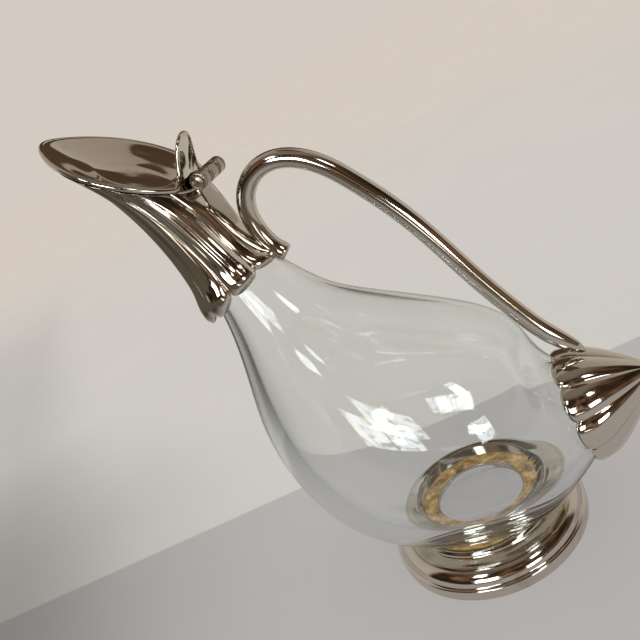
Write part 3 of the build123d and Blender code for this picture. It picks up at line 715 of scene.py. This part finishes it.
# the pale table ends in a straight line, y = LINE_AT + LINE_SLOPE x, and a paler surface lies beyond it
LINE_AT, LINE_SLOPE = 0.104, 0.335
FLOOR_REACH = 4.0
WALL_COLOUR = (0.605, 0.592, 0.562, 1)
FAR_COLOUR = (0.655, 0.592, 0.535, 1)
TABLE_COLOUR = (0.462, 0.448, 0.448, 1)
ROOM_FLOOR = (0.15, 0.132, 0.105, 1)  # the room's floor and its sunlit patch, seen only in reflections
SUNLIT = (2.6, 2.5, 2.3, 1)
LIT_SHARE = 0.30  # the part of the floor's brightness that comes from the light on it; the rest it gives off
LIGHT_ON_FLOOR = 0.60
floor_mesh = bpy.data.meshes.new("floor")
floor_mesh.from_pydata([(x * FLOOR_REACH, y * FLOOR_REACH, 0) for x, y in ((-1, -1), (1, -1), (1, 1), (-1, 1))], [],
                       [(0, 1, 2, 3)])
floor = bpy.data.objects.new("floor", floor_mesh)
scene.collection.objects.link(floor)
paper, nodes, links, shader = material("floor_paper")
where = nodes.new("ShaderNodeTexCoord")
split = nodes.new("ShaderNodeSeparateXYZ")
links.new(where.outputs["Object"], split.inputs[0])
floor_x, floor_y = split.outputs[0], split.outputs[1]
past_line = calc(nodes, links, "SUBTRACT", calc(nodes, links, "MULTIPLY_ADD", floor_x, -LINE_SLOPE, floor_y), LINE_AT)
beyond = smooth(nodes, links, past_line, -0.0012, 0.0012)
far_tone = blend(nodes, links, smooth(nodes, links, floor_y, 0.30, 1.6), WALL_COLOUR, FAR_COLOUR)
tone = blend(nodes, links, beyond, TABLE_COLOUR, far_tone)
mottle = ramp(nodes, links, noise(nodes, links, 9.0, 4, 0.55), [(0.3, grey(0.985)), (0.7, grey(1.015))])
# the photo darkens softly towards its lower left corner and its left edge
# painted shade: the floor's colour is dimmed softly towards its lower left and its left side, fixed to the floor
from_corner = nodes.new("ShaderNodeVectorMath")
from_corner.operation = "DISTANCE"
links.new(where.outputs["Object"], from_corner.inputs[0])
from_corner.inputs[1].default_value = (-0.45, -0.12, 0)
painted_corner_shade = smooth(nodes, links, from_corner.outputs["Value"], 0.10, 0.38, 0.58, 1.0)
leftward = calc(nodes, links, "MULTIPLY_ADD", floor_y, 0.806, floor_x)
left_dim = calc(nodes, links, "MAXIMUM", smooth(nodes, links, leftward, -0.36, -0.21, 0.82, 1.0),
                smooth(nodes, links, floor_y, 0.30, 1.0, 0.82, 1.0))
painted_corner_shade = calc(nodes, links, "MULTIPLY", painted_corner_shade, left_dim)
near_front = smooth(nodes, links, floor_y, -0.60, -0.24, 1.0, 0.0)
near_left = smooth(nodes, links, floor_x, -0.60, -0.26, 1.0, 0.0)
dark_side = calc(nodes, links, "MULTIPLY", calc(nodes, links, "MAXIMUM", near_front, near_left),
                 mirrored(nodes, links))
tone = blend(nodes, links, dark_side, tone, ROOM_FLOOR)
sunlit = calc(nodes, links, "MULTIPLY", smooth(nodes, links, floor_y, -0.95, -0.90, 1.0, 0.0),
              calc(nodes, links, "MULTIPLY", smooth(nodes, links, floor_x, 0.06, 0.10),
                   smooth(nodes, links, floor_x, 0.40, 0.46, 1.0, 0.0)))
tone = blend(nodes, links, calc(nodes, links, "MULTIPLY", sunlit, mirrored(nodes, links)), tone, SUNLIT)
tone = in_glass(nodes, links, tone)
shade = scaled(nodes, links, tone, calc(nodes, links, "MULTIPLY", painted_corner_shade, mottle))
shader.inputs["Roughness"].default_value = 1.0
shader.inputs["Specular IOR Level"].default_value = 0.0
links.new(shade, shader.inputs["Emission Color"])
shader.inputs["Emission Strength"].default_value = 1 - LIT_SHARE
links.new(scaled(nodes, links, shade, LIT_SHARE / LIGHT_ON_FLOOR), shader.inputs["Base Color"])
floor_mesh.materials.append(paper)

world = bpy.data.worlds.new("studio")
scene.world = world
world.use_nodes = True
nodes, links = world.node_tree.nodes, world.node_tree.links
nodes.clear()
out = nodes.new("ShaderNodeOutputWorld")
sky = nodes.new("ShaderNodeBackground")
where = nodes.new("ShaderNodeTexCoord")
split = nodes.new("ShaderNodeSeparateXYZ")
links.new(where.outputs["Generated"], split.inputs[0])
dx, dy, dz = split.outputs
azimuth = calc(nodes, links, "DEGREES", calc(nodes, links, "ARCTAN2", dy, dx))
elevation = calc(nodes, links, "DEGREES", calc(nodes, links, "ARCSINE", dz))
cloud = nodes.new("ShaderNodeTexNoise")
cloud.inputs["Scale"].default_value = 3.0
cloud.inputs["Detail"].default_value = 3.0
links.new(where.outputs["Generated"], cloud.inputs["Vector"])
# the room seen in reflections: brown furniture low down, a dull ceiling above
things = ramp(nodes, links, cloud.outputs["Fac"], [
    (0.36, (0.018, 0.012, 0.009, 1)), (0.50, (0.060, 0.036, 0.022, 1)), (0.60, (0.16, 0.088, 0.05, 1)),
    (0.72, (0.30, 0.22, 0.16, 1))])
ceiling = smooth(nodes, links, dz, 0.72, 0.92)
room = blend(nodes, links, ceiling, things, (0.23, 0.20, 0.16, 1))
# and a pale wall on the line's far side, darker towards the top
wall_tone = blend(nodes, links, smooth(nodes, links, dz, 0.35, 0.98), (0.58, 0.54, 0.48, 1), (0.40, 0.35, 0.29, 1))
to_wall = smooth(nodes, links, calc(nodes, links, "MULTIPLY_ADD", dx, -LINE_SLOPE, dy), -0.03, 0.10)
room = blend(nodes, links, to_wall, room, wall_tone)


def pane(left, right, low, high, edge=0.6):
    """1 inside a range of azimuth and elevation, with soft edges."""
    sides = calc(nodes, links, "MULTIPLY", smooth(nodes, links, azimuth, left - edge, left + edge),
                 smooth(nodes, links, azimuth, right - edge, right + edge, 1.0, 0.0))
    ends = calc(nodes, links, "MULTIPLY", smooth(nodes, links, elevation, low - edge, low + edge),
                smooth(nodes, links, elevation, high - edge, high + edge, 1.0, 0.0))
    return calc(nodes, links, "MULTIPLY", sides, ends)


# each as azimuth from, to, elevation from, to, in degrees
FURNITURE = ((86.5, 132, 3, 46.5), (24, 113, 64.5, 84))
WINDOWS = ((-112, -101, 7, 24), (-100, -89, 7, 24), (-119, -106, 40, 50), (-57, -41, 0.5, 13), (-45, -35, 38, 47))
DARK_WOOD = (0.085, 0.055, 0.032, 1)
for box in FURNITURE:
    room = blend(nodes, links, pane(*box, edge=0.9), room, DARK_WOOD)
panes = None
for box in WINDOWS:
    one = pane(*box)
    panes = one if panes is None else calc(nodes, links, "MAXIMUM", panes, one)
leaves = nodes.new("ShaderNodeTexNoise")
leaves.inputs["Scale"].default_value = 16.0
leaves.inputs["Detail"].default_value = 5.0
links.new(where.outputs["Generated"], leaves.inputs["Vector"])
garden = ramp(nodes, links, leaves.outputs["Fac"], [
    (0.34, (2.0, 2.4, 1.2, 1)), (0.44, (8, 9, 8, 1)), (0.52, (11, 12, 14, 1)), (0.66, (12, 10.5, 8, 1))])
room = blend(nodes, links, panes, room, garden)
# every other ray sees a plain soft studio
soft = blend(nodes, links, smooth(nodes, links, dz, 0.0, 0.9), FAR_COLOUR, (0.66, 0.62, 0.58, 1))
room = in_glass(nodes, links, room)
links.new(blend(nodes, links, mirrored(nodes, links), soft, room), sky.inputs["Color"])
sky.inputs["Strength"].default_value = 1.0
links.new(sky.outputs["Background"], out.inputs["Surface"])

# the camera fitted to the photograph
IMAGE_WIDTH, FOCAL_LENGTH = 640, 715  # in pixels
EYE_AT = Vector((104.0, -278.0, 260.55))
CAMERA_RIGHT, CAMERA_DOWN = Vector((0.8676, 0.2282, -0.4419)), Vector((-0.285, -0.4999, -0.8179))
camera = bpy.data.cameras.new("camera")
camera.sensor_width = 36.0
camera.lens = camera.sensor_width * FOCAL_LENGTH / IMAGE_WIDTH
eye = bpy.data.objects.new("camera", camera)
scene.collection.objects.link(eye)
facing = Matrix((CAMERA_RIGHT, -CAMERA_DOWN, CAMERA_RIGHT.cross(-CAMERA_DOWN))).transposed()
eye.matrix_world = Matrix.Translation(EYE_AT * MM) @ facing.to_4x4()
camera.clip_start = 0.01
scene.camera = eye
scene.view_settings.view_transform = "Standard"
